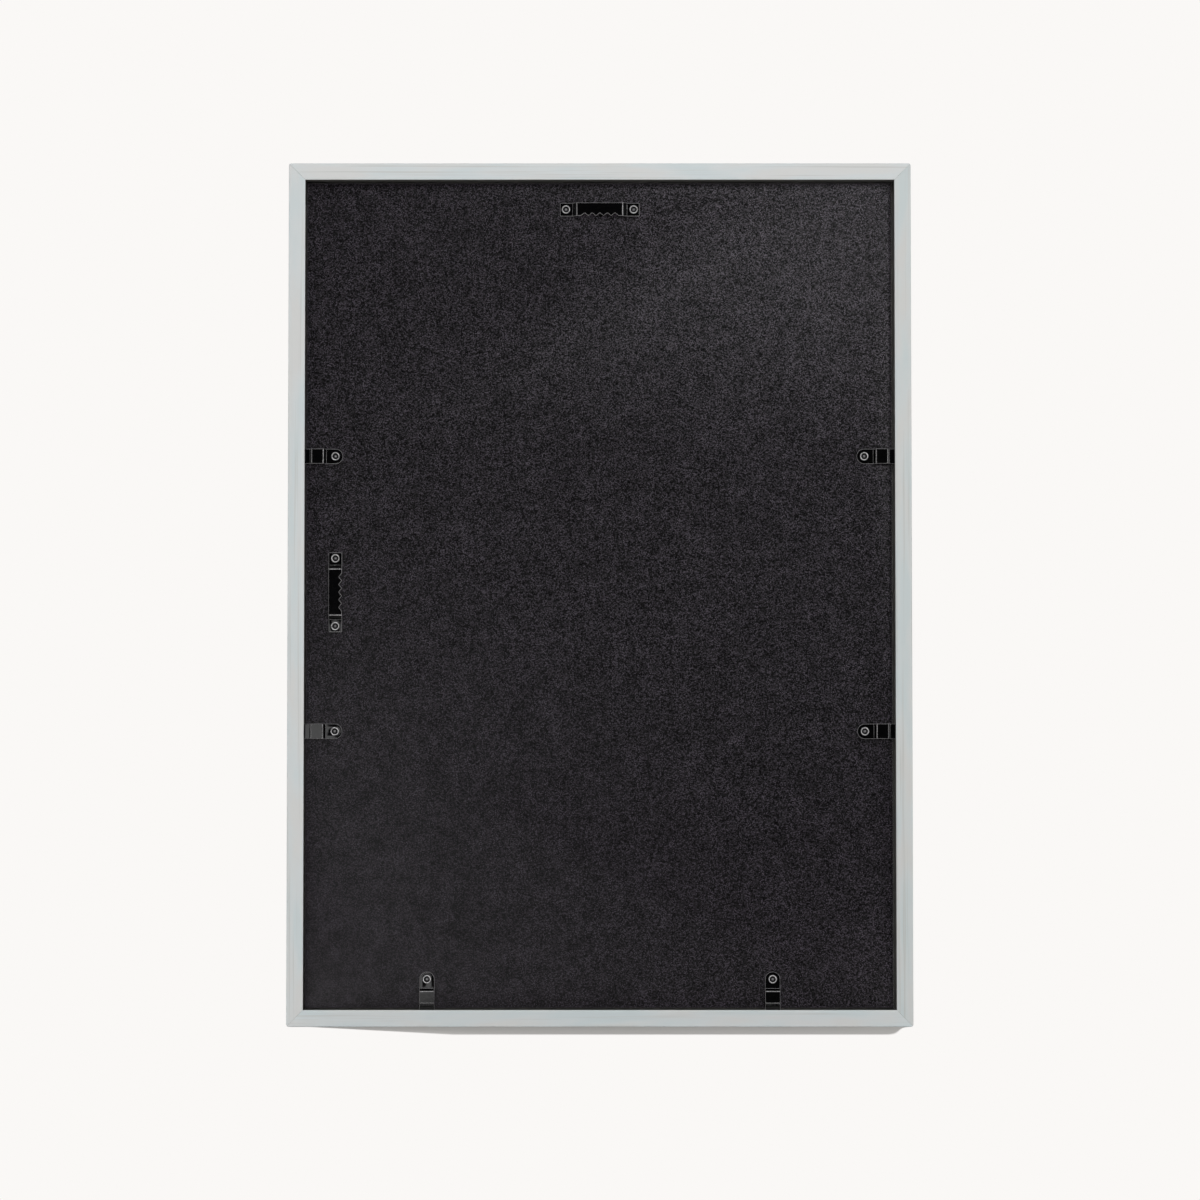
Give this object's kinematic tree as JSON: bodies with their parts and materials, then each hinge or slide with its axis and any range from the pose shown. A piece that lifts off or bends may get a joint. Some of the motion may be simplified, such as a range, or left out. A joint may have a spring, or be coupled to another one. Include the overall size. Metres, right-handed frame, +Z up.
{
  "type": "wooden picture frame",
  "caption": "Slim rectangular wooden picture frame for an A3 sheet, with a black backing board held by riveted turn clips and sawtooth hangers for upright or sideways hanging.",
  "frame": {"origin": "the middle notch of the top sawtooth hanger, where the wall nail bears, halfway through the hanger's plate", "axes": "+Z up with the frame hung upright, -Y towards the wall (the pictured back), +Y towards the viewer of the picture, +X to the right as seen from the back"},
  "size_m": [0.3168, 0.017, 0.4388],
  "materials": {
    "painted_wood": "thin pale grey paint, satin, with a little grain showing",
    "nail_steel": "bare rolled steel strip",
    "clear_acrylic": "clear, polished",
    "blank_paper": "plain matt sheet, nothing printed",
    "black_board": "thin fibreboard under black grained paper",
    "black_steel": "gloss black",
    "rivet_steel": "plain bright steel"
  },
  "bodies": {
    "frame": {"rail_top": "painted_wood", "rail_bottom": "painted_wood", "rail_left": "painted_wood", "rail_right": "painted_wood", "v_nail_top_left": "nail_steel", "v_nail_top_right": "nail_steel", "v_nail_bottom_left": "nail_steel", "v_nail_bottom_right": "nail_steel", "glazing_sheet": "clear_acrylic", "insert_sheet": "blank_paper", "backing_board": "black_board", "sawtooth_hanger_top": "black_steel", "sawtooth_hanger_side": "black_steel", "hanger_rivet_top_left": "rivet_steel", "hanger_rivet_top_right": "rivet_steel", "hanger_rivet_side_upper": "rivet_steel", "hanger_rivet_side_lower": "rivet_steel", "clip_rivet_left_upper": "rivet_steel", "clip_rivet_left_lower": "rivet_steel", "clip_rivet_right_upper": "rivet_steel", "clip_rivet_right_lower": "rivet_steel", "clip_rivet_bottom_left": "rivet_steel", "clip_rivet_bottom_right": "rivet_steel"},
    "left_upper_clip": {"clip_left_upper": "black_steel"},
    "left_lower_clip": {"clip_left_lower": "black_steel"},
    "right_upper_clip": {"clip_right_upper": "black_steel"},
    "right_lower_clip": {"clip_right_lower": "black_steel"},
    "bottom_left_clip": {"clip_bottom_left": "black_steel"},
    "bottom_right_clip": {"clip_bottom_right": "black_steel"}
  },
  "joints": [
    {"name": "left_upper_clip_turn", "type": "hinge", "parent": "frame", "child": "left_upper_clip", "pos_m": [-0.1345, 0.0029, -0.1244], "axis": [0, -1, 0], "continuous": true},
    {"name": "left_lower_clip_turn", "type": "hinge", "parent": "frame", "child": "left_lower_clip", "pos_m": [-0.1345, 0.0029, -0.2644], "axis": [0, -1, 0], "continuous": true},
    {"name": "right_upper_clip_turn", "type": "hinge", "parent": "frame", "child": "right_upper_clip", "pos_m": [0.1345, 0.0029, -0.1244], "axis": [0, -1, 0], "continuous": true},
    {"name": "right_lower_clip_turn", "type": "hinge", "parent": "frame", "child": "right_lower_clip", "pos_m": [0.1345, 0.0029, -0.2644], "axis": [0, -1, 0], "continuous": true},
    {"name": "bottom_left_clip_turn", "type": "hinge", "parent": "frame", "child": "bottom_left_clip", "pos_m": [-0.0875, 0.0029, -0.3899], "axis": [0, -1, 0], "continuous": true},
    {"name": "bottom_right_clip_turn", "type": "hinge", "parent": "frame", "child": "bottom_right_clip", "pos_m": [0.0875, 0.0029, -0.3899], "axis": [0, -1, 0], "continuous": true}
  ]
}
